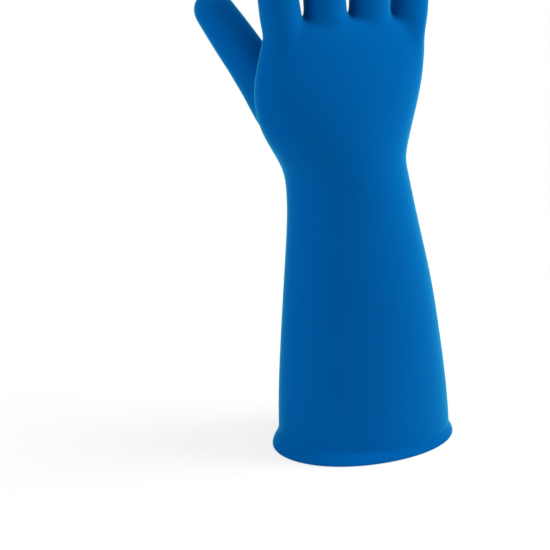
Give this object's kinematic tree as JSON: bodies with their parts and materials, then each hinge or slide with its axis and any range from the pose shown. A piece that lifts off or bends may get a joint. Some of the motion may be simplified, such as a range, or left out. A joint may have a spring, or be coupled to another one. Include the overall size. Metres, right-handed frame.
{
  "type": "cryogenic glove",
  "caption": "Insulated waterproof glove with a long gauntlet cuff and a rolled edge, for handling very cold liquids and vials.",
  "frame": {"origin": "centre of the cuff mouth, on the plane that the glove stands on", "axes": "+Z from the cuff to the fingertips, +X to the little finger side, -X to the thumb side, -Y to the back of the hand, +Y to the palm"},
  "size_m": [0.189, 0.1068, 0.3986],
  "materials": {
    "rubber": "satin",
    "batting": "matte fibre",
    "lining": "brushed knit",
    "binding": "woven tape"
  },
  "bodies": {
    "gauntlet": {"rolled_cuff_bead": "rubber", "liner_hem_tape": "binding", "gauntlet_shell": "rubber", "gauntlet_batting": "batting", "gauntlet_lining": "lining", "wrist_fold_shell": "rubber", "wrist_fold_batting": "batting", "wrist_fold_lining": "lining"},
    "hand": {"hand_shell": "rubber", "hand_batting": "batting", "hand_lining": "lining", "index_fold_shell": "rubber", "index_fold_batting": "batting", "index_fold_lining": "lining", "middle_fold_shell": "rubber", "middle_fold_batting": "batting", "middle_fold_lining": "lining", "ring_fold_shell": "rubber", "ring_fold_batting": "batting", "ring_fold_lining": "lining", "little_fold_shell": "rubber", "little_fold_batting": "batting", "little_fold_lining": "lining", "thumb_fold_shell": "rubber", "thumb_fold_batting": "batting", "thumb_fold_lining": "lining"},
    "index_finger": {"index_shell": "rubber", "index_batting": "batting", "index_lining": "lining"},
    "middle_finger": {"middle_shell": "rubber", "middle_batting": "batting", "middle_lining": "lining"},
    "ring_finger": {"ring_shell": "rubber", "ring_batting": "batting", "ring_lining": "lining"},
    "little_finger": {"little_shell": "rubber", "little_batting": "batting", "little_lining": "lining"},
    "thumb": {"thumb_shell": "rubber", "thumb_batting": "batting", "thumb_lining": "lining"}
  },
  "joints": [
    {"name": "wrist_bend", "type": "hinge", "parent": "gauntlet", "child": "hand", "pos_m": [-0.016, 0, 0.202], "axis": [-1, 0, 0], "range_deg": [-40, 40], "stiffness_Nm_per_rad": 4, "deforming": ["wrist_fold_shell", "wrist_fold_batting", "wrist_fold_lining"]},
    {"name": "index_bend", "type": "hinge", "parent": "hand", "child": "index_finger", "pos_m": [-0.0671, 0.00131, 0.32536], "axis": [-0.9945, 0, -0.1045], "range_deg": [-8, 65], "stiffness_Nm_per_rad": 0.3, "deforming": ["index_fold_shell", "index_fold_batting", "index_fold_lining"]},
    {"name": "middle_bend", "type": "hinge", "parent": "hand", "child": "middle_finger", "pos_m": [-0.03413, 0.00131, 0.32542], "axis": [-0.9994, 0, -0.0349], "range_deg": [-8, 65], "stiffness_Nm_per_rad": 0.3, "deforming": ["middle_fold_shell", "middle_fold_batting", "middle_fold_lining"]},
    {"name": "ring_bend", "type": "hinge", "parent": "hand", "child": "ring_finger", "pos_m": [-0.00117, 0.00131, 0.32542], "axis": [-0.9994, 0, 0.0349], "range_deg": [-8, 65], "stiffness_Nm_per_rad": 0.3, "deforming": ["ring_fold_shell", "ring_fold_batting", "ring_fold_lining"]},
    {"name": "little_bend", "type": "hinge", "parent": "hand", "child": "little_finger", "pos_m": [0.0298, 0.00131, 0.32536], "axis": [-0.9945, 0, 0.1045], "range_deg": [-8, 65], "stiffness_Nm_per_rad": 0.3, "deforming": ["little_fold_shell", "little_fold_batting", "little_fold_lining"]},
    {"name": "thumb_bend", "type": "hinge", "parent": "hand", "child": "thumb", "pos_m": [-0.08788, 0.03394, 0.28638], "axis": [-0.8572, 0, -0.515], "range_deg": [-10, 40], "stiffness_Nm_per_rad": 0.3, "deforming": ["thumb_fold_shell", "thumb_fold_batting", "thumb_fold_lining"]}
  ]
}
